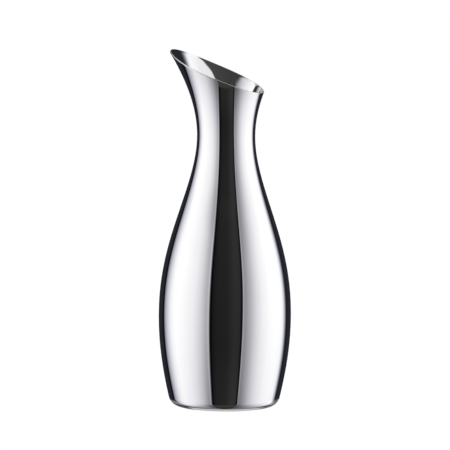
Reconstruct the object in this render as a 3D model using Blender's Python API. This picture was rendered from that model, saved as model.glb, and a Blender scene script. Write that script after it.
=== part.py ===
"""Polished steel jug with a barrel belly, a narrow waist and a slanted mouth that forms the spout.

Two body sheets and a pressed base, joined by two ring welds. Metres, +Z up. The origin is on the
jug's axis, on the surface that it stands on, and the spout points along -X.
"""

import math
from collections import namedtuple

import bmesh
import bpy

# Wall: the rings that its outer face runs through, from the standing plane up.
FOOT_RADIUS = 0.0405  # the wall carried on down to the standing plane, as if the corner were sharp
FOOT_FLARE_DEG = 14.0  # lean of the wall there, from the vertical
FOOT_CURVE_RADIUS = 0.536  # bulge of the wall there
BELLY_RADIUS = 0.0500
BELLY_HEIGHT = 0.0685
BELLY_CURVE_RADIUS = 0.242
SHOULDER_LENGTH = 0.1359  # from the widest ring up to the waist
WAIST_RADIUS = 0.0219
WAIST_CURVE_RADIUS = 0.0755
LIP_RISE = 0.0676  # from the waist up to the ring on which the mouth's flare is set
LIP_RADIUS = 0.0459
LIP_FLARE_DEG = 31.9
LIP_CURVE_RADIUS = 0.364

# Mouth: a slanted cut that steepens a little towards the spout and towards the heel opposite it.
MOUTH_RISE = 0.0444  # from the waist up to the cut, on the jug's axis
MOUTH_SLANT_DEG = 21.4  # on the axis
MOUTH_SWEEP = 0.183  # the longer it is, the straighter the cut

# Sheet and welds.
BODY_SHEET = 0.0008
BASE_SHEET = 0.0010
RIM_ROUND = 0.0003
NECK_SEAM_RISE = 0.0785  # from the widest ring up to the weld between the two body sheets
BEAD_WIDTH = 0.0014
BEAD_ROOT = 0.0003  # how far a bead stands proud inside; outside it is ground flush
WELD_CLEARANCE = 0.0003  # between a bead and the sheet edges beside it

# Base.
BASE_CORNER_RADIUS = 0.0084
BASE_COLLAR = 0.0025  # upright edge of the base above its rounded corner
STANDING_RING_WIDTH = 0.0040
PANEL_RISE = 0.0020  # how far the middle of the base stands clear of the table
PANEL_RAMP = 0.0060

# Facets.
COLUMNS = 64
BELLY_ROWS = 14
NECK_ROWS = 16
CORNER_ROWS = 6
RAMP_ROWS = 4
MERGE_DISTANCE = 1e-6
SHARP_EDGE_DEG = 40

Ring = namedtuple("Ring", "height radius slope bend")


def ring(height, radius, flare_deg, curve_radius):
    """A ring of the wall. A positive curve radius is a wall that curls outwards, as at the waist."""
    slope = math.tan(math.radians(flare_deg))
    return Ring(height, radius, slope, (1 + slope**2) ** 1.5 / curve_radius)


WAIST_HEIGHT = BELLY_HEIGHT + SHOULDER_LENGTH
WALL_RINGS = (
    ring(0, FOOT_RADIUS, FOOT_FLARE_DEG, -FOOT_CURVE_RADIUS),
    ring(BELLY_HEIGHT, BELLY_RADIUS, 0, -BELLY_CURVE_RADIUS),
    ring(WAIST_HEIGHT, WAIST_RADIUS, 0, WAIST_CURVE_RADIUS),
    ring(WAIST_HEIGHT + LIP_RISE, LIP_RADIUS, LIP_FLARE_DEG, LIP_CURVE_RADIUS),
)


def between_rings(low, high, height):
    """Radius and slope on the quintic that has both rings' radius, slope and bend."""
    span = high.height - low.height
    t = (height - low.height) / span
    rise = high.radius - low.radius
    slope_0, slope_1 = low.slope * span, high.slope * span
    bend_0, bend_1 = low.bend * span**2, high.bend * span**2
    cubic = 10 * rise - 6 * slope_0 - 4 * slope_1 - 1.5 * bend_0 + 0.5 * bend_1
    quartic = -15 * rise + 8 * slope_0 + 7 * slope_1 + 1.5 * bend_0 - bend_1
    quintic = 6 * rise - 3 * slope_0 - 3 * slope_1 - 0.5 * bend_0 + 0.5 * bend_1
    radius = low.radius + t * (slope_0 + t * (bend_0 / 2 + t * (cubic + t * (quartic + t * quintic))))
    slope = (slope_0 + t * (bend_0 + t * (3 * cubic + t * (4 * quartic + t * 5 * quintic)))) / span
    return radius, slope


def wall(height):
    """Radius and slope of the wall's outer face. Above its top ring it runs on straight."""
    for low, high in zip(WALL_RINGS, WALL_RINGS[1:]):
        if height <= high.height:
            return between_rings(low, high, height)
    lip = WALL_RINGS[-1]
    return lip.radius + (height - lip.height) * lip.slope, lip.slope


def along_wall(height, distance):
    """The height that lies this far up the wall from another, measured on the wall's face."""
    return height + distance / math.hypot(1, wall(height)[1])


def behind_wall(height, depth):
    """The point (radius, height) this deep in the sheet, square to the wall's face."""
    radius, slope = wall(height)
    length = math.hypot(1, slope)
    return radius - depth / length, height + depth * slope / length


def crossing(function, low, high):
    """Where a rising function passes zero, by halving."""
    for _ in range(60):
        middle = (low + high) / 2
        if function(middle) > 0:
            high = middle
        else:
            low = middle
    return (low + high) / 2


def steps(first, last, count):
    return [first + (last - first) * i / count for i in range(count + 1)]


def mouth_cut(x):
    """Height of the mouth's cut at a distance from the axis; the spout is on the -X side."""
    slant = math.tan(math.radians(MOUTH_SLANT_DEG))
    return WAIST_HEIGHT + MOUTH_RISE - slant * x - x**3 / MOUTH_SWEEP**2


def rim_height(azimuth):
    """Where the wall's outer face meets the mouth's cut."""
    highest = WAIST_HEIGHT + 2 * LIP_RISE + MOUTH_RISE
    return crossing(lambda z: z - mouth_cut(wall(z)[0] * math.cos(azimuth)), BELLY_HEIGHT, highest)


HALF_SEAM = BEAD_WIDTH / 2 + WELD_CLEARANCE
NECK_SEAM = BELLY_HEIGHT + NECK_SEAM_RISE

# The corner's arc touches the standing plane and, at this height, the wall.
CORNER_TOP = crossing(
    lambda z: z + BASE_CORNER_RADIUS * (math.sin(math.atan(wall(z)[1])) - 1), 0, BASE_CORNER_RADIUS
)
CORNER_LEAN = math.atan(wall(CORNER_TOP)[1])
CORNER_CENTRE = wall(CORNER_TOP)[0] - BASE_CORNER_RADIUS * math.cos(CORNER_LEAN)
COLLAR_TOP = along_wall(CORNER_TOP, BASE_COLLAR)
BASE_SEAM = along_wall(COLLAR_TOP, HALF_SEAM)


def lofted(name, column, closed=False):
    """A skin through one column of (radius, height) points for each azimuth, all round the axis.

    Columns run outwards and up, so that faces point out. A closed column gives a ring.
    """
    mesh = bpy.data.meshes.new(name)
    shape = bmesh.new()
    columns = []
    for i in range(COLUMNS):
        azimuth = 2 * math.pi * i / COLUMNS
        cos, sin = math.cos(azimuth), math.sin(azimuth)
        columns.append([shape.verts.new((r * cos, r * sin, z)) for r, z in column(azimuth)])
    for this, following in zip(columns, columns[1:] + columns[:1]):
        for i in range(0 if closed else 1, len(this)):
            shape.faces.new((this[i - 1], following[i - 1], following[i], this[i]))
    bmesh.ops.remove_doubles(shape, verts=shape.verts, dist=MERGE_DISTANCE)
    shape.to_mesh(mesh)
    shape.free()
    mesh.shade_smooth()
    mesh.set_sharp_from_angle(angle=math.radians(SHARP_EDGE_DEG))
    piece = bpy.data.objects.new(name, mesh)
    bpy.context.scene.collection.objects.link(piece)
    return piece


def give_sheet(piece, thickness):
    """Turns a skin, which is the outer face, into sheet metal."""
    solidify = piece.modifiers.new("sheet", "SOLIDIFY")
    solidify.thickness = thickness
    solidify.offset = -1
    solidify.use_even_offset = True


def round_edges(piece, radius):
    bevel = piece.modifiers.new("rounded edge", "BEVEL")
    bevel.width = radius
    bevel.segments = 2
    bevel.limit_method = "ANGLE"
    bevel.angle_limit = math.radians(SHARP_EDGE_DEG)


def steel(name, colour, roughness):
    material = bpy.data.materials.new(name)
    material.use_nodes = True
    shader = material.node_tree.nodes["Principled BSDF"]
    shader.inputs["Base Color"].default_value = (*colour, 1)
    shader.inputs["Metallic"].default_value = 1
    shader.inputs["Roughness"].default_value = roughness
    return material


def neck_shell():
    """Upper sheet, from the shoulder weld through the waist to the slanted mouth and its spout."""
    bottom = along_wall(NECK_SEAM, HALF_SEAM)

    def column(azimuth):
        return [(wall(z)[0], z) for z in steps(bottom, rim_height(azimuth), NECK_ROWS)]

    piece = lofted("neck_shell", column)
    give_sheet(piece, BODY_SHEET)
    round_edges(piece, RIM_ROUND)
    return piece


def belly_shell():
    """Lower sheet, from the base weld through the widest ring to the shoulder weld."""
    bottom = along_wall(BASE_SEAM, HALF_SEAM)
    top = along_wall(NECK_SEAM, -HALF_SEAM)
    column = [(wall(z)[0], z) for z in steps(bottom, top, BELLY_ROWS)]
    piece = lofted("belly_shell", lambda azimuth: column)
    give_sheet(piece, BODY_SHEET)
    return piece


def base_plate():
    """Pressed base: raised panel, flat standing ring, rounded corner and upright collar."""
    ring_inside = CORNER_CENTRE - STANDING_RING_WIDTH
    panel_edge = Ring(ring_inside - PANEL_RAMP, PANEL_RISE, 0, 0)
    ring_edge = Ring(ring_inside, 0, 0, 0)
    column = [(0, PANEL_RISE)]
    for radius in steps(panel_edge.height, ring_edge.height, RAMP_ROWS):
        column.append((radius, between_rings(panel_edge, ring_edge, radius)[0]))
    for angle in steps(-math.pi / 2, -CORNER_LEAN, CORNER_ROWS):
        column.append(
            (
                CORNER_CENTRE + BASE_CORNER_RADIUS * math.cos(angle),
                BASE_CORNER_RADIUS * (1 + math.sin(angle)),
            )
        )
    column.append((wall(COLLAR_TOP)[0], COLLAR_TOP))
    piece = lofted("base_plate", lambda azimuth: column)
    give_sheet(piece, BASE_SHEET)
    return piece


def weld_bead(name, seam):
    """Ring weld as thick as the body sheet: flush outside, with a low rounded root inside."""
    low, high = along_wall(seam, -BEAD_WIDTH / 2), along_wall(seam, BEAD_WIDTH / 2)
    outline = [
        behind_wall(low, 0),
        behind_wall(high, 0),
        behind_wall(high, BODY_SHEET),
        behind_wall(seam, BODY_SHEET + BEAD_ROOT),
        behind_wall(low, BODY_SHEET),
    ]
    return lofted(name, lambda azimuth: outline, closed=True)


def main():
    for old in list(bpy.data.objects):
        bpy.data.objects.remove(old)
    jug = bpy.data.objects.new("jug", None)
    bpy.context.scene.collection.objects.link(jug)
    mirror = steel("mirror_steel", (0.66, 0.67, 0.69), 0.05)
    satin = steel("satin_steel", (0.58, 0.59, 0.61), 0.28)
    bead = steel("weld_steel", (0.52, 0.52, 0.53), 0.35)
    pieces = (
        (neck_shell(), mirror),
        (belly_shell(), mirror),
        (base_plate(), satin),
        (weld_bead("neck_weld", NECK_SEAM), bead),
        (weld_bead("base_weld", BASE_SEAM), bead),
    )
    for piece, material in pieces:
        piece.data.materials.append(material)
        piece.parent = jug


main()
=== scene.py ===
import math

import bpy
import numpy as np
from mathutils import Matrix, Vector


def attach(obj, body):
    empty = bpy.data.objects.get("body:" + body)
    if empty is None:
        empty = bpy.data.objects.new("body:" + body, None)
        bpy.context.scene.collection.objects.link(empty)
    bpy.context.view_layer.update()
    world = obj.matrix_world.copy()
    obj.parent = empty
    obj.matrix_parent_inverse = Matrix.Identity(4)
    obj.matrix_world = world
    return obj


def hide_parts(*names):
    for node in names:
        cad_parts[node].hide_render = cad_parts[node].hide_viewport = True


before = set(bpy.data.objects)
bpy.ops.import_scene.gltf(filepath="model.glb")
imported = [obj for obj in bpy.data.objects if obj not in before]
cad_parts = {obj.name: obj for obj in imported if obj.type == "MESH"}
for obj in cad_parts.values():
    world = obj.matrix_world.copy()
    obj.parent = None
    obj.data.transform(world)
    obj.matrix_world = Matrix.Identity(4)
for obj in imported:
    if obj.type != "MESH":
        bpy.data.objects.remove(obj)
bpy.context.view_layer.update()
print("frame loaded:", ", ".join(sorted(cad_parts)))


# the wall's outer face, a turned shape: rings from the table up, in metres and degrees
# flare is the lean from vertical, curve the radius of the wall's own bend, plus where it curls outwards
jugWall = {
    "foot": {"height": 0.0, "radius": 0.0405, "flare": 14.0, "curve": -0.536},
    "belly": {"height": 0.0685, "radius": 0.0500, "flare": 0.0, "curve": -0.242},
    "waist": {"height": 0.2044, "radius": 0.0219, "flare": 0.0, "curve": 0.0755},
    "lip": {"height": 0.2720, "radius": 0.0459, "flare": 31.9, "curve": 0.364},
    "columns": 240,  # facets round the axis
    "sharpAngle": 35.0,  # a turn between faces beyond this is a real edge
    "halvings": 50,  # steps in the search for a height
}


def ringNumbers(ring):
    # height, radius, slope dr/dz and second derivative of one ring
    slope = math.tan(math.radians(ring["flare"]))
    return ring["height"], ring["radius"], slope, (1 + slope**2) ** 1.5 / ring["curve"]


def blendRings(low, high, z):
    # quintic in height that keeps radius, slope and bend of both rings: gives radius and slope
    span = high[0] - low[0]
    t = (z - low[0]) / span
    rise = high[1] - low[1]
    v0, v1 = low[2] * span, high[2] * span
    c0, c1 = low[3] * span**2, high[3] * span**2
    k3 = 10 * rise - 6 * v0 - 4 * v1 - 1.5 * c0 + 0.5 * c1
    k4 = -15 * rise + 8 * v0 + 7 * v1 + 1.5 * c0 - c1
    k5 = 6 * rise - 3 * v0 - 3 * v1 - 0.5 * c0 + 0.5 * c1
    radius = low[1] + t * (v0 + t * (c0 / 2 + t * (k3 + t * (k4 + t * k5))))
    slope = (v0 + t * (c0 + t * (3 * k3 + t * (4 * k4 + t * 5 * k5)))) / span
    return radius, slope


wallRings = [ringNumbers(jugWall[name]) for name in ("foot", "belly", "waist", "lip")]


def wall(z):
    # radius and slope of the outer face at each height: one blend for each pair of rings
    z = np.asarray(z, float)
    spans = [blendRings(low, high, z) for low, high in zip(wallRings, wallRings[1:])]
    above = [z > ring[0] for ring in wallRings[1:-1]]
    radius, slope = spans[0]
    for passed, (nextRadius, nextSlope) in zip(above, spans[1:]):
        radius = np.where(passed, nextRadius, radius)
        slope = np.where(passed, nextSlope, slope)
    return radius, slope


def insideWall(z, depth):
    # point (radius, height) this deep in the sheet, square to the outer face
    radius, slope = wall(z)
    length = np.hypot(1, slope)
    return radius - depth / length, z + depth * slope / length


def upWall(z, distance):
    # height that lies this far up the wall
    return z + distance / math.hypot(1, float(wall(z)[1]))


def halve(function, low, high):
    # where a rising function of arrays passes zero, by halving the interval
    low, high = np.broadcast_arrays(np.asarray(low, float), np.asarray(high, float))
    for _ in range(jugWall["halvings"]):
        middle = (low + high) / 2
        over = function(middle) > 0
        low, high = np.where(over, low, middle), np.where(over, middle, high)
    return (low + high) / 2


columnCount = jugWall["columns"]
azimuths = np.arange(columnCount) * 2 * math.pi / columnCount


def ringGrid(radii, heights):
    # points of sections carried round the axis: (azimuth, section point, xyz)
    radii, heights = np.broadcast_arrays(radii, heights)
    if radii.ndim == 1:
        radii = np.repeat(radii[None], columnCount, 0)
        heights = np.repeat(heights[None], columnCount, 0)
    across, along = np.cos(azimuths)[:, None], np.sin(azimuths)[:, None]
    return np.stack([radii * across, radii * along, heights], -1)


def ringFaces(pointCount, closed):
    # quads between neighbouring columns and section points, both wrapping round where closed
    column = np.arange(columnCount)[:, None]
    point = np.arange(pointCount if closed else pointCount - 1)[None]
    nextColumn, nextPoint = (column + 1) % columnCount, (point + 1) % pointCount
    corners = [
        column * pointCount + point,
        nextColumn * pointCount + point,
        nextColumn * pointCount + nextPoint,
        column * pointCount + nextPoint,
    ]
    return np.stack([np.broadcast_to(c, corners[0].shape) for c in corners], -1).reshape(-1, 4)


def makePiece(name, points, faces, finish, material):
    # mesh object at the origin, smooth apart from real edges; finish is 0 where polished and 1 where satin
    mesh = bpy.data.meshes.new(name)
    allFaces = sum((group.tolist() for group in faces), [])
    mesh.from_pydata(points.reshape(-1, 3).tolist(), [], allFaces)
    mesh.shade_smooth()
    mesh.set_sharp_from_angle(angle=math.radians(jugWall["sharpAngle"]))
    finishes = mesh.attributes.new("finish", "FLOAT", "POINT").data
    finishes.foreach_set("value", finish.ravel().astype(np.float32))
    mesh.materials.append(material)
    piece = bpy.data.objects.new(name, mesh)
    bpy.context.scene.collection.objects.link(piece)
    return piece


def placePiece(piece, node):
    # it rides on the jug's one body and takes the place of its CAD solid
    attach(piece, "root")
    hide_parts(node)
    print(piece.name, "made:", len(piece.data.polygons), "faces")


# material helpers
def newMaterial(name):
    # a node material and its tree
    material = bpy.data.materials.new(name)
    material.use_nodes = True
    return material, material.node_tree


def addNode(tree, kind, inputs=None, **settings):
    # a node with its settings, and its inputs set or linked by socket name or number
    node = tree.nodes.new(kind)
    for key, value in settings.items():
        setattr(node, key, value)
    for key, value in (inputs or {}).items():
        if isinstance(value, bpy.types.NodeSocket):
            tree.links.new(value, node.inputs[key])
        else:
            node.inputs[key].default_value = value
    return node


def mapRange(tree, value, fromLow, fromHigh, toLow, toHigh):
    # straight line through two pairs of values, held at its ends
    return addNode(
        tree,
        "ShaderNodeMapRange",
        {"Value": value, "From Min": fromLow, "From Max": fromHigh, "To Min": toLow, "To Max": toHigh},
    ).outputs[0]


def mathNode(tree, operation, *values):
    # one operation on numbers or sockets
    return addNode(tree, "ShaderNodeMath", dict(enumerate(values)), operation=operation).outputs[0]


def softStep(tree, value, low, high):
    # 0 to 1 with eased ends
    return addNode(
        tree,
        "ShaderNodeMapRange",
        {"Value": value, "From Min": low, "From Max": high},
        interpolation_type="SMOOTHSTEP",
    ).outputs[0]


def mixNumber(tree, share, low, high):
    # low where the share is 0, high where it is 1
    return addNode(tree, "ShaderNodeMix", {0: share, 2: low, 3: high}).outputs[0]


def mixColour(tree, share, low, high, blend="MIX"):
    # the same for colours: a blend of high over low, by its share
    sockets = {0: share, 6: low, 7: high}
    return addNode(tree, "ShaderNodeMix", sockets, data_type="RGBA", blend_type=blend).outputs[2]


def greyColour(light):
    # the same light in red, green and blue
    return (light, light, light, 1)


steel = {
    "polishColour": (0.70, 0.70, 0.705),
    "polishRoughness": (0.02, 0.04),  # buffed bright, with slightly hazier patches
    "hazeScale": 38.0,  # patches per metre
    "satinColour": (0.60, 0.60, 0.605),
    "satinRoughness": (0.20, 0.34),
    "stainColour": (0.55, 0.54, 0.52),  # faint water marks on the satin
    "stainScale": 24.0,
    "lines": 5200.0,  # buffing and turning lines per metre along the section
    "lineLength": 60.0,  # breaks in them per metre round the jug
    "polishDepth": 0.00000008,  # depth of the lines
    "satinDepth": 0.000003,
    "scuffHeight": (0.0011, 0.0002),  # the foot is scuffed below this height
    "scuffRoughness": 0.30,
    "scuffScale": 900.0,
    # noise values between which each pattern comes in
    "noiseRange": (0.3, 0.7),
    "stainRange": (0.5, 0.72),
    "scuffRange": (0.46, 0.62),
}


def makeSteel(name):
    # lines follow height plus radius, so they run round the wall and in rings on the base;
    # the finish attribute fades polish into satin, and the foot's lowest edge is scuffed
    material, tree = newMaterial(name)
    shader = tree.nodes["Principled BSDF"]
    where = addNode(tree, "ShaderNodeTexCoord").outputs["Object"]
    finish = addNode(tree, "ShaderNodeAttribute", attribute_name="finish").outputs["Fac"]
    xyz = addNode(tree, "ShaderNodeSeparateXYZ", {0: where}).outputs
    flat = addNode(tree, "ShaderNodeCombineXYZ", {"X": xyz["X"], "Y": xyz["Y"]}).outputs[0]
    radius = addNode(tree, "ShaderNodeVectorMath", {0: flat}, operation="LENGTH").outputs["Value"]
    section = mathNode(tree, "ADD", xyz["Z"], radius)
    along = addNode(tree, "ShaderNodeCombineXYZ", {"X": xyz["X"], "Y": xyz["Y"], "Z": section}).outputs[0]
    lineScale = (steel["lineLength"], steel["lineLength"], steel["lines"])
    squeezed = addNode(tree, "ShaderNodeMapping", {"Vector": along, "Scale": lineScale}).outputs[0]

    def cloud(vector, scale, detail):
        # noise between 0 and 1
        sockets = {"Vector": vector, "Scale": scale, "Detail": detail}
        return addNode(tree, "ShaderNodeTexNoise", sockets).outputs["Fac"]

    lines = cloud(squeezed, scale=1.0, detail=2.0)
    patches = cloud(where, steel["hazeScale"], detail=4.0)
    haze = mapRange(tree, patches, *steel["noiseRange"], *steel["polishRoughness"])
    brushed = mapRange(tree, lines, *steel["noiseRange"], *steel["satinRoughness"])
    roughness = mixNumber(tree, finish, haze, brushed)
    foot = softStep(tree, xyz["Z"], *steel["scuffHeight"])
    scuffs = softStep(tree, cloud(where, steel["scuffScale"], detail=3.0), *steel["scuffRange"])
    scuffed = mathNode(tree, "MULTIPLY", foot, scuffs)
    roughness = mixNumber(tree, scuffed, roughness, steel["scuffRoughness"])

    stain = softStep(tree, cloud(where, steel["stainScale"], detail=5.0), *steel["stainRange"])
    satin = mixColour(tree, stain, (*steel["satinColour"], 1), (*steel["stainColour"], 1))
    depth = mapRange(tree, finish, 0.0, 1.0, steel["polishDepth"], steel["satinDepth"])
    relief = mathNode(tree, "MULTIPLY", lines, depth)
    bump = addNode(tree, "ShaderNodeBump", {"Height": relief, "Distance": 1.0})
    shader.inputs["Metallic"].default_value = 1.0
    tree.links.new(mixColour(tree, finish, (*steel["polishColour"], 1), satin), shader.inputs["Base Color"])
    tree.links.new(roughness, shader.inputs["Roughness"])
    tree.links.new(bump.outputs[0], shader.inputs["Normal"])
    return material


bodySteel = makeSteel("polished_steel")
baseSteel = makeSteel("base_steel")
weldSteel = makeSteel("weld_steel")
print("steels mixed")


# seams and the base corner
seams = {
    "neck": 0.1470,  # height of the ring weld between the two body sheets
    "bead": 0.0014,  # width of a ring weld
    "root": 0.0003,  # how far a weld stands proud inside
    "ripples": 180,  # weld ripples round the bead
    "rippleDepth": 0.00005,
    "rippleBend": 2.2,  # radians of a ripple by which its ends trail its middle
    "clearance": 0.0003,  # room that the solids keep beside a bead
    "outerRows": 3,
    "innerRows": 9,
}
sheet = {"body": 0.0008, "base": 0.0010}  # thickness
base = {
    "corner": 0.0084,  # radius of the rounded corner
    "collar": 0.0025,  # upright edge above it
    "standingRing": 0.0040,
    "panelRise": 0.0020,  # the middle stands clear of the table
    "panelRamp": 0.0060,
    "panelRows": 12,
    "rampRows": 25,
    "ringRows": 5,
    "cornerRows": 25,
    "collarRows": 8,
}


# the corner's arc touches the table and, at cornerTop, the wall
def aboveCorner(z):
    # how far the wall's point lies above the arc's point of the same lean
    return z + base["corner"] * (np.sin(np.arctan(wall(z)[1])) - 1)


cornerTop = float(halve(aboveCorner, 0, base["corner"]))
cornerLean = math.atan(float(wall(cornerTop)[1]))
cornerCentre = float(wall(cornerTop)[0]) - base["corner"] * math.cos(cornerLean)
halfBead = seams["bead"] / 2
baseSeam = upWall(upWall(cornerTop, base["collar"]), halfBead + seams["clearance"])


mouth = {
    "height": 0.24874,  # cut on the axis
    "slant": 21.4,  # degrees, rising towards the spout at -X
    "sweep": 0.183,  # the longer it is, the straighter the cut
    "between": (0.20, 0.32),  # heights between which the rim is looked for
    "outerEase": 0.0003,  # rounding of the rim's two edges
    "innerEase": 0.00013,
    "rimSteps": 8,  # facets in each rounding
    "outerRows": 120,
    "innerRows": 60,
    "rimFinish": 1.0,  # the cut edge is ground, not polished
    "satinBelow": (0.218, 0.192),  # the inner polish fades out between these heights
}


def mouthCut(x):
    # slanted line that steepens towards both ends with the cube of the distance
    return mouth["height"] - math.tan(math.radians(mouth["slant"])) * x - x**3 / mouth["sweep"] ** 2


def rimFrame(z):
    # outer edge of the cut sheet as (radius, height), with the wall's out and up directions
    radius, slope = wall(z)
    length = np.hypot(1, slope)
    out = np.stack([1 / length, -slope / length], -1)
    up = np.stack([slope / length, 1 / length], -1)
    return np.stack([radius, z], -1), out, up


def edgeHeight():
    # height at which the outer face ends at each azimuth, so that the rim's sharp corner would lie on the cut
    def overCut(z):
        # height of that corner above the cut
        edge, _, up = rimFrame(z)
        top = edge + up * mouth["outerEase"]
        return top[:, 1] - mouthCut(top[:, 0] * np.cos(azimuths))

    low, high = mouth["between"]
    return halve(overCut, np.full(columnCount, low), np.full(columnCount, high))


def smoothStep(t):
    # quintic from 0 to 1 with no slope or bend at its ends
    return t**3 * (10 - 15 * t + 6 * t**2)


def neckSheet():
    # section for each azimuth: up the outer face, over a flat rim with eased edges, down the inner face
    bottom = upWall(seams["neck"], halfBead)
    edge = edgeHeight()
    outerZ = bottom + (edge - bottom)[:, None] * np.linspace(0, 1, mouth["outerRows"])
    outerEase, innerEase = mouth["outerEase"], mouth["innerEase"]
    corner, out, up = (part[:, None] for part in rimFrame(edge))
    turn = np.linspace(0, math.pi / 2, mouth["rimSteps"] + 1)[:, None]
    outerRound = corner + outerEase * ((np.cos(turn) - 1) * out + np.sin(turn) * up)
    innerCorner = corner - sheet["body"] * out + (outerEase - innerEase) * up
    innerRound = innerCorner + innerEase * ((1 - np.sin(turn)) * out + np.cos(turn) * up)
    rim = np.concatenate([outerRound[:, 1:], innerRound[:, :-1]], 1)
    innerTop = innerCorner[:, 0, 1] - sheet["body"] * wall(edge)[1] / np.hypot(1, wall(edge)[1])
    innerZ = bottom + (innerTop - bottom)[:, None] * np.linspace(1, 0, mouth["innerRows"])
    innerR, innerH = insideWall(innerZ, sheet["body"])
    radii = np.concatenate([wall(outerZ)[0], rim[..., 0], innerR], 1)
    heights = np.concatenate([outerZ, rim[..., 1], innerH], 1)
    points = ringGrid(radii, heights)
    finish = np.zeros(radii.shape)
    finish[:, mouth["outerRows"] : -mouth["innerRows"]] = mouth["rimFinish"]
    polished, dull = mouth["satinBelow"]
    finish[:, -mouth["innerRows"] :] = smoothStep(np.clip((innerH - polished) / (dull - polished), 0, 1))
    piece = makePiece("neck_sheet", points, [ringFaces(points.shape[1], True)], finish, bodySteel)
    placePiece(piece, "neck_shell")


belly = {"outerRows": 120, "innerRows": 50}


def bellySheet():
    # one section all round: up the outer face, down the inner
    low, high = upWall(baseSeam, halfBead), upWall(seams["neck"], -halfBead)
    outerZ = np.linspace(low, high, belly["outerRows"])
    innerR, innerH = insideWall(np.linspace(high, low, belly["innerRows"]), sheet["body"])
    points = ringGrid(np.concatenate([wall(outerZ)[0], innerR]), np.concatenate([outerZ, innerH]))
    inside = np.arange(points.shape[1]) >= belly["outerRows"]
    finish = np.broadcast_to(inside.astype(float), points.shape[:2])
    piece = makePiece("belly_sheet", points, [ringFaces(points.shape[1], True)], finish, bodySteel)
    placePiece(piece, "belly_shell")


def ringWeld(name, node, seam):
    # bead between two sheet edges: flush outside, a low rippled root inside
    low, high = upWall(seam, -halfBead), upWall(seam, halfBead)
    outerZ = np.linspace(low, high, seams["outerRows"])
    across = np.linspace(1, -1, seams["innerRows"])
    innerZ = (low + high) / 2 + across * (high - low) / 2
    wave = np.cos(azimuths[:, None] * seams["ripples"] + seams["rippleBend"] * across**2)
    ripple = 1 - seams["rippleDepth"] / seams["root"] * (0.5 + 0.5 * wave)
    depth = sheet["body"] + seams["root"] * (1 - across**2) * ripple
    innerR, innerH = insideWall(np.broadcast_to(innerZ, depth.shape), depth)
    outer = np.broadcast_to(outerZ, (columnCount, outerZ.size))
    points = ringGrid(np.concatenate([wall(outer)[0], innerR], 1), np.concatenate([outer, innerH], 1))
    inside = np.arange(points.shape[1]) >= outerZ.size
    finish = np.broadcast_to(inside.astype(float), points.shape[:2])
    piece = makePiece(name, points, [ringFaces(points.shape[1], True)], finish, weldSteel)
    placePiece(piece, node)


def sheetInset(tangent):
    # inward normal of a section that runs outwards and up, times the sheet
    return np.stack([-tangent[:, 1], tangent[:, 0]], -1) * sheet["base"]


def basePan():
    # section from the axis: raised panel, ramp, flat standing ring, round corner, collar, and back inside
    ringInside = cornerCentre - base["standingRing"]
    rampInside = ringInside - base["panelRamp"]
    panelR = np.linspace(0, rampInside, base["panelRows"])[1:-1]
    rampT = np.linspace(0, 1, base["rampRows"])
    rampR, rampZ = rampInside + rampT * base["panelRamp"], base["panelRise"] * (1 - smoothStep(rampT))
    ringR = np.linspace(ringInside, cornerCentre, base["ringRows"])[1:-1]
    turn = np.linspace(-math.pi / 2, -cornerLean, base["cornerRows"])
    cornerR, cornerZ = cornerCentre + base["corner"] * np.cos(turn), base["corner"] * (1 + np.sin(turn))
    collarZ = np.linspace(cornerTop, upWall(baseSeam, -halfBead), base["collarRows"])[1:]
    underR = np.concatenate([panelR, rampR, ringR, cornerR, wall(collarZ)[0]])
    panelZ, ringZ = np.full_like(panelR, base["panelRise"]), np.zeros_like(ringR)
    under = np.stack([underR, np.concatenate([panelZ, rampZ, ringZ, cornerZ, collarZ])], -1)
    tangent = np.gradient(under, axis=0)
    tangent /= np.linalg.norm(tangent, axis=1)[:, None]
    inside = under + sheetInset(tangent)
    section = np.concatenate([under, inside[::-1]])
    points = ringGrid(section[:, 0], section[:, 1])
    count = section.shape[0]
    poles = np.array([[0, 0, base["panelRise"]], [0, 0, base["panelRise"] + sheet["base"]]])
    below, above = columnCount * count, columnCount * count + 1
    first = np.arange(columnCount) * count
    following = np.roll(first, -1)
    underFan = np.stack([np.full(columnCount, below), following, first], -1)
    insideFan = np.stack([np.full(columnCount, above), first + count - 1, following + count - 1], -1)
    allPoints = np.concatenate([points.reshape(-1, 3), poles])
    # polished from the corner out, satin under the panel and inside
    reach = np.clip((under[:, 0] - ringInside) / (cornerCentre - ringInside), 0, 1)
    finish = np.concatenate([1 - smoothStep(reach), np.ones(inside.shape[0])])
    finish = np.append(np.broadcast_to(finish, points.shape[:2]).ravel(), [1, 1])
    faces = [ringFaces(count, False), underFan, insideFan]
    piece = makePiece("base_pan", allPoints, faces, finish, baseSteel)
    placePiece(piece, "base_plate")


neckSheet()
bellySheet()
ringWeld("neck_bead", "neck_weld", seams["neck"])
ringWeld("base_bead", "base_weld", baseSeam)
basePan()


# camera at the photograph's angle
view = {
    "azimuth": 19.41,  # degrees from -Y towards +X
    "elevation": 5.083,
    "roll": 0.421,
    "distance": 2.261,
    "aimHeight": 0.1369,
    "aimAside": -0.00037,  # to the camera's right
    "lens": 239.77,  # mm, for a sensor of this width
    "sensor": 36.0,
    "clip": 100.0,  # metres
}
turnCamera, liftCamera = math.radians(view["azimuth"]), math.radians(view["elevation"])
toCamera = Vector((math.sin(turnCamera), -math.cos(turnCamera), 0))
cameraRight = Vector((math.cos(turnCamera), math.sin(turnCamera), 0))


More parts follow.
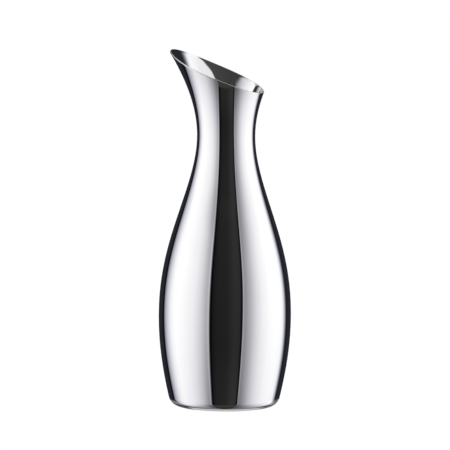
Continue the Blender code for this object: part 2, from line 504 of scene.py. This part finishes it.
def setCamera():
    # it stands back from its aim along the view, faces the aim and rolls about that line
    data = bpy.data.cameras.new("camera")
    data.lens = view["lens"]
    data.sensor_width = view["sensor"]
    data.clip_end = view["clip"]
    camera = bpy.data.objects.new("camera", data)
    bpy.context.scene.collection.objects.link(camera)
    aim = Vector((0, 0, view["aimHeight"])) + cameraRight * view["aimAside"]
    back = toCamera * math.cos(liftCamera) + Vector((0, 0, math.sin(liftCamera)))
    facing = back.to_track_quat("Z", "Y").to_matrix().to_4x4()
    roll = Matrix.Rotation(math.radians(view["roll"]), 4, "Z")
    camera.matrix_world = Matrix.Translation(aim + back * view["distance"]) @ facing @ roll
    bpy.context.scene.camera = camera


setCamera()
print("camera set")


# studio: what the polished steel sees round the jug, by direction: azimuths in degrees from the camera to
# its right, elevations in degrees, brightness as linear light; four numbers are a straight line, the two
# places where it starts and ends and then its values there
studio = {
    # brightness against azimuth of the panels and of the dark card between them
    "leftPanel": [
        (-131.3, 0.23), (-128.1, 0.47), (-120.0, 0.86), (-108.0, 1.33), (-96.0, 1.50), (-78.0, 1.41),
        (-56.0, 1.24), (-44.0, 0.985), (-34.0, 0.64), (-31.4, 0.61), (-28.9, 0.71), (-27.1, 0.83),
    ],
    "cardLeft": [(-26.65, 0.0002), (-24.2, 0.0002), (-21.8, 0.011), (-14.0, 0.018), (4.0, 0.020)],
    "cardRight": [(4.0, 0.020), (18.0, 0.033), (26.6, 0.030), (29.0, 0.006), (31.6, 0.0002)],
    "rightPanel": [
        (32.2, 0.61), (33.7, 0.46), (35.5, 0.39), (46.0, 0.66), (56.0, 0.99), (68.0, 1.27),
        (86.0, 1.46), (104.0, 1.51), (117.4, 1.42), (122.5, 1.18), (127.5, 0.61), (132.7, 0.09),
    ],
    "brightest": 2.4,  # the ramps are drawn as shares of this
    "sides": (-20.0, 20.0),  # left passes into right between these azimuths
    "cardJoin": 4.0,  # where the card's two ramps meet
    "cardMiddle": 2.4,
    "cardHalf": (28.4, 29.0),  # card passes into panel this far from its middle
    "innerLean": (-26.0, 31.0, 0.034, 0.056),  # of the panels' inner edges, degrees per degree of height
    "outerBulge": (-90.0, 90.0, 0.004, 0.002),  # of their outer edges, times the square of the depth
    "bulgeDepth": -28.0,  # the bulge grows down to here
    "leanToBulge": (60.0, 120.0),
    # the dark room behind, and its share beside the panels
    "room": 0.0275,
    "roomLeft": [(-142.0, 1.0), (-138.5, 0.4), (-132.4, 0.05)],
    "roomRight": [(135.8, 0.3), (142.0, 1.0)],
    "roomTint": (0.95, 1.0, 1.28),
    "roomTintFrom": 130.5,
    # what is added to the panels' colour where they are dim, and at their outer edges
    "shadeTint": (0.02, 0.0, 0.11),
    "edgeTint": (-0.03, 0.0, 0.19),
    "edgeTintFrom": 115.0,
    "untintedAt": 1.5,  # panels this bright are white
    "greyBelow": 0.08,  # anything dimmer is card, without a tint
    "lowTint": (1.006, 1.0, 1.03),  # times the colour of the panels' lower parts
    "lowTintFrom": (-10.0, -30.0),
    # each panel's brightness against elevation, the power to which it is raised, and what the card gains
    "leftRise": [
        (-90, 0.17), (-58, 0.28), (-48, 0.44), (-40, 0.605), (-34, 0.72), (-28, 0.785), (-22, 0.855),
        (-13, 0.92), (-5, 0.955), (0, 0.97), (14, 0.995), (26, 0.955), (30, 0.85),
    ],
    "rightRise": [
        (-90, 0.15), (-58, 0.30), (-48, 0.42), (-40, 0.61), (-34, 0.725), (-28, 0.82), (-22, 0.88),
        (-13, 0.93), (-5, 0.96), (0, 0.97), (18, 0.985), (30, 0.89),
    ],
    "leftPower": (-70.0, -33.0, 0.6, 1.45),
    "rightPower": (34.0, 85.0, 1.4, 0.8),
    "cardLow": (-40.0, -18.0, 0.4, 0.0),
    "cardHigh": (-18.0, 31.0, 0.0, 0.25),
    # floor: tints, and elevations where it comes in and is full, each in front and then elsewhere
    "floorGrey": 0.055,
    "floorTint": ((1.09, 1.03, 0.84), (0.97, 1.0, 1.10)),
    "floorStart": (-45.6, -24.0),
    "floorEnd": (-47.4, -68.0),
    "floorTurn": (40.0, 90.0),  # the front ends between these azimuths
    # the panels' upper parts, brightness against azimuth
    "upperLeft": [
        (-124.0, 0.06), (-118.0, 0.18), (-109.0, 0.58), (-99.0, 1.00), (-90.0, 1.11), (-73.0, 1.03),
        (-62.0, 0.95), (-52.0, 0.76), (-42.0, 0.50), (-34.0, 0.36), (-30.0, 0.065),
    ],
    "upperRight": [
        (32.3, 0.07), (33.4, 0.70), (40.0, 0.92), (50.0, 1.12), (84.0, 1.18), (96.0, 1.30),
        (110.0, 1.36), (114.0, 1.20), (119.0, 0.66), (122.5, 0.30), (127.0, 0.08),
    ],
    "upperCard": (-22.0, 26.0),  # ceiling between these azimuths
    "upperRoom": (-130.0, 131.0),  # dark room beyond these
    "upperFrom": (30.0, 40.0),  # elevations
    "upperDrop": 16.0,  # the outer ends start this much lower
    "upperEnds": (92.0, 110.0),
    # elevation of the panels' top edges and how crisp these are, as sums of lines over azimuth
    "leftTop": [(-76.0, -36.0, 46.3, 40.9)],
    "rightTop": [(34.0, 48.0, 41.8, 45.8), (48.0, 57.0, 0.0, 0.6)],
    "topCrisp": [(-66.0, -46.0, 0.16, 0.40), (-30.0, 30.0, 0.0, 1.0)],
    "topBlur": 1.2,
    "ceiling": (0.060, 0.080),  # to the left and to the right
    "ceilingTurn": (-10.0, 40.0),
    # pale backdrop straight behind the jug and high up behind it: azimuths, then elevations
    "backdrop": 0.9,
    "backdropFrom": ((165.0, 171.0), (-2.0, 12.0)),
    "highBackFrom": ((118.0, 130.0), (36.0, 42.0)),
    # strong light high up on the left
    "overhead": 2.3,
    "overheadFrom": (56.5, 59.5),
    "overheadSide": (-20.0, -28.0),
    "overheadFront": (-0.25, 0.0),  # share of the direction that points to the camera
}


def lightRamp(tree, place, stops, scale=1.0, tint=None):
    # colour ramp over a 0 to 1 place, grey without a tint; the scale keeps its colours under 1
    node = addNode(tree, "ShaderNodeValToRGB", {"Fac": place})
    bar = node.color_ramp
    bar.elements.remove(bar.elements[1])
    for i, (position, brightness) in enumerate(stops):
        element = bar.elements[0] if i == 0 else bar.elements.new(position)
        element.position = position
        tone = tint(360 * position - 180, brightness) if tint else (1, 1, 1)
        element.color = (*[brightness * part / scale for part in tone], 1)
    return node.outputs["Color"]


def roomTint(degrees, brightness):
    # dim parts of the panels are slightly violet, the dark room behind is navy, the card is grey
    if abs(degrees) > studio["roomTintFrom"]:
        return studio["roomTint"]
    dim = 1 - brightness / studio["untintedAt"] if brightness > studio["greyBelow"] else 0
    added = studio["edgeTint"] if abs(degrees) > studio["edgeTintFrom"] else studio["shadeTint"]
    return [1 + part * dim for part in added]


def aroundRamp(tree, azimuth, stops):
    # tinted light against azimuth
    turn = mapRange(tree, azimuth, -180.0, 180.0, 0.0, 1.0)
    places = [(degrees / 360 + 0.5, brightness) for degrees, brightness in stops]
    return lightRamp(tree, turn, places, studio["brightest"], roomTint)


def riseRamp(tree, elevation, stops):
    # share of the light against elevation
    height = mapRange(tree, elevation, -90.0, 90.0, 0.0, 1.0)
    return lightRamp(tree, height, [((degrees + 90) / 180, share) for degrees, share in stops])


def sumLines(tree, value, lines):
    # sum of straight lines over one value
    total, *others = (mapRange(tree, value, *line) for line in lines)
    for other in others:
        total = mathNode(tree, "ADD", total, other)
    return total


def panelsAndCard(tree, azimuth, elevation, fromFront, onRight):
    # light against azimuth times light against elevation: upright panels to both sides, a dark card
    # between them in front and a dark room behind
    # the panels' inner edges lean a little, the right one more, and their outer edges bulge
    lean = mathNode(tree, "MULTIPLY", mapRange(tree, azimuth, *studio["innerLean"]), elevation)
    below = mapRange(tree, elevation, studio["bulgeDepth"], 0.0, studio["bulgeDepth"], 0.0)
    bend = mapRange(tree, azimuth, *studio["outerBulge"])
    bulge = mathNode(tree, "MULTIPLY", mathNode(tree, "MULTIPLY", below, below), bend)
    outwards = softStep(tree, fromFront, *studio["leanToBulge"])
    leaned = mathNode(tree, "SUBTRACT", azimuth, mixNumber(tree, outwards, lean, bulge))
    roomLeft, roomRight = (
        [(degrees, studio["room"] * share) for degrees, share in studio[side]]
        for side in ("roomLeft", "roomRight")
    )
    left = aroundRamp(tree, leaned, roomLeft + studio["leftPanel"] + studio["cardLeft"])
    right = aroundRamp(tree, leaned, studio["cardRight"] + studio["rightPanel"] + roomRight)
    pastJoin = mathNode(tree, "GREATER_THAN", leaned, studio["cardJoin"])
    around = mixColour(tree, pastJoin, left, right)

    # steeper beside the card, and rising to both ends on it
    leftRise, rightRise = (riseRamp(tree, elevation, studio[side]) for side in ("leftRise", "rightRise"))
    leftPower, rightPower = (mapRange(tree, azimuth, *studio[side]) for side in ("leftPower", "rightPower"))
    rise = mixNumber(tree, onRight, leftRise, rightRise)
    power = mixNumber(tree, onRight, leftPower, rightPower)
    fromCard = mathNode(tree, "ABSOLUTE", mathNode(tree, "SUBTRACT", leaned, studio["cardMiddle"]))
    onPanel = softStep(tree, fromCard, *studio["cardHalf"])
    onCard = mathNode(tree, "SUBTRACT", 1.0, onPanel)
    rise = mathNode(tree, "POWER", rise, mathNode(tree, "MULTIPLY", power, onPanel))
    cardRise = sumLines(tree, elevation, [studio["cardLow"], studio["cardHigh"]])
    rise = mathNode(tree, "ADD", rise, mathNode(tree, "MULTIPLY", cardRise, onCard))
    lit = mixColour(tree, 1.0, around, rise, "MULTIPLY")
    low = mathNode(tree, "MULTIPLY", mapRange(tree, elevation, *studio["lowTintFrom"], 0.0, 1.0), onPanel)
    lowTint = mixColour(tree, low, greyColour(1), (*studio["lowTint"], 1))
    return mixColour(tree, 1.0, lit, lowTint, "MULTIPLY")


def floorBelow(tree, lit, elevation, fromFront):
    # the floor's grey where it is the lighter, with a crisp edge in front and a soft one elsewhere
    turn = studio["floorTurn"]
    start, end = (mapRange(tree, fromFront, *turn, *studio[side]) for side in ("floorStart", "floorEnd"))
    grey = studio["floorGrey"] / studio["brightest"]
    warm, cool = ((*[grey * part for part in tone], 1) for tone in studio["floorTint"])
    shade = mixColour(tree, softStep(tree, fromFront, *turn), warm, cool)
    return mixColour(tree, softStep(tree, elevation, start, end), lit, shade, "LIGHTEN")


def upperParts(tree, lit, azimuth, elevation, fromFront, onRight):
    # upper parts of the panels, lower down at their outer ends, then the ceiling above their top edges
    room, scale = studio["room"], studio["brightest"]
    roomLeft, roomRight = studio["upperRoom"]
    cardLeft, cardRight = studio["upperCard"]
    ceilingLeft, ceilingRight = studio["ceiling"]
    stops = [(-180, room), (roomLeft, room)] + studio["upperLeft"] + [(cardLeft, ceilingLeft)]
    stops += [(cardRight, ceilingRight)] + studio["upperRight"] + [(roomRight, room), (180, room)]
    upper = aroundRamp(tree, azimuth, stops)
    outer = softStep(tree, fromFront, *studio["upperEnds"])
    lifted = mathNode(tree, "ADD", elevation, mathNode(tree, "MULTIPLY", outer, studio["upperDrop"]))
    lit = mixColour(tree, softStep(tree, lifted, *studio["upperFrom"]), lit, upper)
    leftTop, rightTop, crisp = (
        sumLines(tree, azimuth, studio[lines]) for lines in ("leftTop", "rightTop", "topCrisp")
    )
    top = mixNumber(tree, onRight, leftTop, rightTop)
    over = mathNode(tree, "MULTIPLY", mathNode(tree, "SUBTRACT", elevation, top), crisp)
    ceiling = mapRange(tree, azimuth, *studio["ceilingTurn"], ceilingLeft / scale, ceilingRight / scale)
    return mixColour(tree, softStep(tree, over, -studio["topBlur"], studio["topBlur"]), lit, ceiling)


def behindAndAbove(tree, lit, azimuth, elevation, fromFront, towards):
    # the pale backdrop where either of its two areas lies, then the strong light over all that is there
    def area(aside, up):
        # product of a step over azimuth and a step over elevation
        return mathNode(tree, "MULTIPLY", softStep(tree, fromFront, *aside), softStep(tree, elevation, *up))

    scale = studio["brightest"]
    behind = mathNode(tree, "MAXIMUM", area(*studio["backdropFrom"]), area(*studio["highBackFrom"]))
    lit = mixColour(tree, behind, lit, greyColour(studio["backdrop"] / scale))
    ahead = softStep(tree, towards, *studio["overheadFront"])
    aside = mathNode(tree, "MULTIPLY", ahead, softStep(tree, azimuth, *studio["overheadSide"]))
    overhead = mathNode(tree, "MULTIPLY", softStep(tree, elevation, *studio["overheadFrom"]), aside)
    return mixColour(tree, overhead, lit, greyColour(studio["overhead"] / scale))


def makeWorld():
    # the studio by azimuth and elevation; the camera itself sees white
    world = bpy.data.worlds.new("studio")
    bpy.context.scene.world = world
    world.use_nodes = True
    tree = world.node_tree
    tree.nodes.clear()
    direction = addNode(tree, "ShaderNodeTexCoord").outputs["Generated"]
    rotation = {"Vector": direction, "Angle": -turnCamera}
    turned = addNode(tree, "ShaderNodeVectorRotate", rotation, rotation_type="Z_AXIS").outputs[0]
    xyz = addNode(tree, "ShaderNodeSeparateXYZ", {0: turned}).outputs
    towards = mathNode(tree, "MULTIPLY", xyz["Y"], -1.0)
    perRadian = 180 / math.pi
    azimuth = mathNode(tree, "MULTIPLY", mathNode(tree, "ARCTAN2", xyz["X"], towards), perRadian)
    elevation = mathNode(tree, "MULTIPLY", mathNode(tree, "ARCSINE", xyz["Z"]), perRadian)
    fromFront = mathNode(tree, "ABSOLUTE", azimuth)
    onRight = softStep(tree, azimuth, *studio["sides"])

    lit = panelsAndCard(tree, azimuth, elevation, fromFront, onRight)
    lit = floorBelow(tree, lit, elevation, fromFront)
    lit = upperParts(tree, lit, azimuth, elevation, fromFront, onRight)
    lit = behindAndAbove(tree, lit, azimuth, elevation, fromFront, towards)

    seen = addNode(tree, "ShaderNodeLightPath").outputs["Is Camera Ray"]
    room = addNode(tree, "ShaderNodeBackground", {"Color": lit, "Strength": studio["brightest"]})
    white = addNode(tree, "ShaderNodeBackground", {"Color": greyColour(1), "Strength": 1.0})
    mix = addNode(tree, "ShaderNodeMixShader", {0: seen, 1: room.outputs[0], 2: white.outputs[0]})
    addNode(tree, "ShaderNodeOutputWorld", {"Surface": mix.outputs[0]})


makeWorld()
print("studio lit")


# floor: the white table, and a painted reflection of it for the base's round corner to mirror; lengths in
# metres
floorPlan = {
    "size": 6.0,
    "depth": 0.00005,  # the table is this far below the jug's foot
    "colour": 0.80,
    "shade": 0.10,  # share of the jug's soft shade that the camera sees
    "white": 1.085,
    # pale spot under the jug: painted light, a glow that only the steel's mirror rays see
    "spotDepth": 0.0001,
    "spot": 0.0396,  # radius
    "spotBlur": 0.0006,
    "spotLight": (0.12, 0.20, 0.72),  # on the left, on the right and in front
    "spotFront": (0.0255, 0.0205, 0.031),  # the front fades in from here on the left and right to here
    "sides": (-0.01, 0.01),  # left passes into right between these distances aside
    # painted contact shadow: a dark line round it, seen only in the steel's mirror
    "shadowGap": 0.0004,  # it starts to fade this far outside the spot
    "seam": 0.045,  # and ends here
    "shadowDark": (0.20, 0.60),  # at the sides and in front
    "shadowFront": (0.65, 0.30),  # share of the radius aside where the front begins
    # lit table beside the base: painted light, a glowing ring that only the steel's mirror rays see
    "tint": (0.975, 0.985, 1.045),  # of the spot as well
    "glowStart": (0.0402, 0.0415),
    # it fades out between these radii, on the left, on the right and at the right end
    "glowFade": ((0.0440, 0.0432, 0.0470), (0.0490, 0.0458, 0.0545)),
    "glowSides": (0.0, 0.5),  # left passes into right between these shares of the radius aside
    "glowRightEnd": (0.86, 0.94),
    # its light against the share of the radius to the camera's right
    "glowLight": [
        (-1.0, 0.22), (-0.92, 0.32), (-0.86, 0.32), (-0.78, 0.27), (-0.66, 0.16), (-0.50, 0.0), (0.55, 0.0),
        (0.72, 0.10), (0.80, 0.30), (0.88, 0.54), (0.93, 0.58), (0.97, 0.36), (1.0, 0.15),
    ],
}


def flatSheet(name, size, depth):
    # level square round the axis, this far below the jug's foot
    half = size / 2
    corners = [(-half, -half, -depth), (half, -half, -depth), (half, half, -depth), (-half, half, -depth)]
    mesh = bpy.data.meshes.new(name)
    mesh.from_pydata(corners, [], [(0, 1, 2, 3)])
    sheetObject = bpy.data.objects.new(name, mesh)
    bpy.context.scene.collection.objects.link(sheetObject)
    return sheetObject


def makeFloor():
    # pale paper that the camera sees as white with a trace of the jug's shade; the steel doesn't see it
    floor = flatSheet("floor", floorPlan["size"], floorPlan["depth"])
    material, tree = newMaterial("floor_paper")
    tree.nodes.clear()
    seen = addNode(tree, "ShaderNodeLightPath").outputs["Is Camera Ray"]
    paper = addNode(tree, "ShaderNodeBsdfDiffuse", {"Color": greyColour(floorPlan["colour"])})
    glow = addNode(tree, "ShaderNodeEmission", {"Strength": floorPlan["white"]})
    share = mathNode(tree, "MULTIPLY", seen, 1 - floorPlan["shade"])
    mix = addNode(tree, "ShaderNodeMixShader", {0: share, 1: paper.outputs[0], 2: glow.outputs[0]})
    addNode(tree, "ShaderNodeOutputMaterial", {"Surface": mix.outputs[0]})
    floor.data.materials.append(material)
    floor.visible_glossy = False


def makePaintedReflection():
    # painted reflection of the floor for the base's corner to mirror, a sheet that only the steel's mirror
    # rays see, by distance and direction from the axis:
    # painted light, pale under the jug's front, a faint painted contact shadow line, a painted lit table
    # beside it, nothing beyond
    spot = flatSheet("painted_floor_reflection", floorPlan["glowFade"][1][2] * 2, floorPlan["spotDepth"])
    material, tree = newMaterial("painted_floor_reflection")
    tree.nodes.clear()
    where = addNode(tree, "ShaderNodeTexCoord").outputs["Object"]
    radius = addNode(tree, "ShaderNodeVectorMath", {0: where}, operation="LENGTH").outputs["Value"]

    def along(axis):
        # distance from the jug's axis in one direction
        sockets = {0: where, 1: tuple(axis)}
        return addNode(tree, "ShaderNodeVectorMath", sockets, operation="DOT_PRODUCT").outputs["Value"]

    ahead, aside = along(toCamera), along(cameraRight)
    side = mathNode(tree, "DIVIDE", aside, radius)

    # the spot, painted light: one light at each side and another in front
    edge, blur = floorPlan["spot"], floorPlan["spotBlur"]
    pale = softStep(tree, radius, edge + blur, edge - blur)
    leftStart, rightStart, frontEnd = floorPlan["spotFront"]
    leftLight, rightLight, frontLight = floorPlan["spotLight"]
    frontStart = mapRange(tree, aside, *floorPlan["sides"], leftStart, rightStart)
    sideLight = mapRange(tree, aside, *floorPlan["sides"], leftLight, rightLight)
    front = softStep(tree, ahead, frontStart, frontEnd)
    spotLight = mathNode(tree, "MULTIPLY", pale, mixNumber(tree, front, sideLight, frontLight))
    tint = (*floorPlan["tint"], 1)
    under = addNode(tree, "ShaderNodeEmission", {"Color": tint, "Strength": spotLight})

    def sideways(left, right, rightEnd):
        # from the left value to the right one, with a second change near the right end
        inner = mapRange(tree, side, *floorPlan["glowSides"], left, right)
        end = mapRange(tree, side, *floorPlan["glowRightEnd"], 0.0, rightEnd - right)
        return mathNode(tree, "ADD", inner, end)

    # the lit table, painted light: a glowing ring with soft edges, times its light from left to right
    ringFade, ringEnd = (sideways(*radii) for radii in floorPlan["glowFade"])
    ringStart = softStep(tree, radius, *floorPlan["glowStart"])
    ring = mathNode(tree, "MULTIPLY", ringStart, softStep(tree, radius, ringEnd, ringFade))
    across = mapRange(tree, side, -1.0, 1.0, 0.0, 1.0)
    glowLight = lightRamp(tree, across, [((share + 1) / 2, light) for share, light in floorPlan["glowLight"]])
    glowTint = mixColour(tree, glowLight, greyColour(0), tint)
    beside = addNode(tree, "ShaderNodeEmission", {"Color": glowTint, "Strength": ring})

    # painted contact shadow: the dark line covers what lies below it and gives no light
    clear = addNode(tree, "ShaderNodeBsdfTransparent")
    fade = softStep(tree, radius, edge + floorPlan["shadowGap"], floorPlan["seam"])
    inFront = softStep(tree, mathNode(tree, "ABSOLUTE", side), *floorPlan["shadowFront"])
    shadowDark = mapRange(tree, inFront, 0.0, 1.0, *floorPlan["shadowDark"])
    line = mathNode(tree, "MULTIPLY", mathNode(tree, "SUBTRACT", 1.0, fade), shadowDark)
    cover = mathNode(tree, "MAXIMUM", pale, line)
    mix = addNode(tree, "ShaderNodeMixShader", {0: cover, 1: clear.outputs[0], 2: under.outputs[0]})
    both = addNode(tree, "ShaderNodeAddShader", {0: mix.outputs[0], 1: beside.outputs[0]})
    addNode(tree, "ShaderNodeOutputMaterial", {"Surface": both.outputs[0]})
    spot.data.materials.append(material)
    spot.visible_camera = False
    spot.visible_diffuse = False
    spot.visible_shadow = False
    spot.visible_transmission = False


makeFloor()
makePaintedReflection()
print("floor laid")
bpy.context.scene.view_settings.view_transform = "Standard"
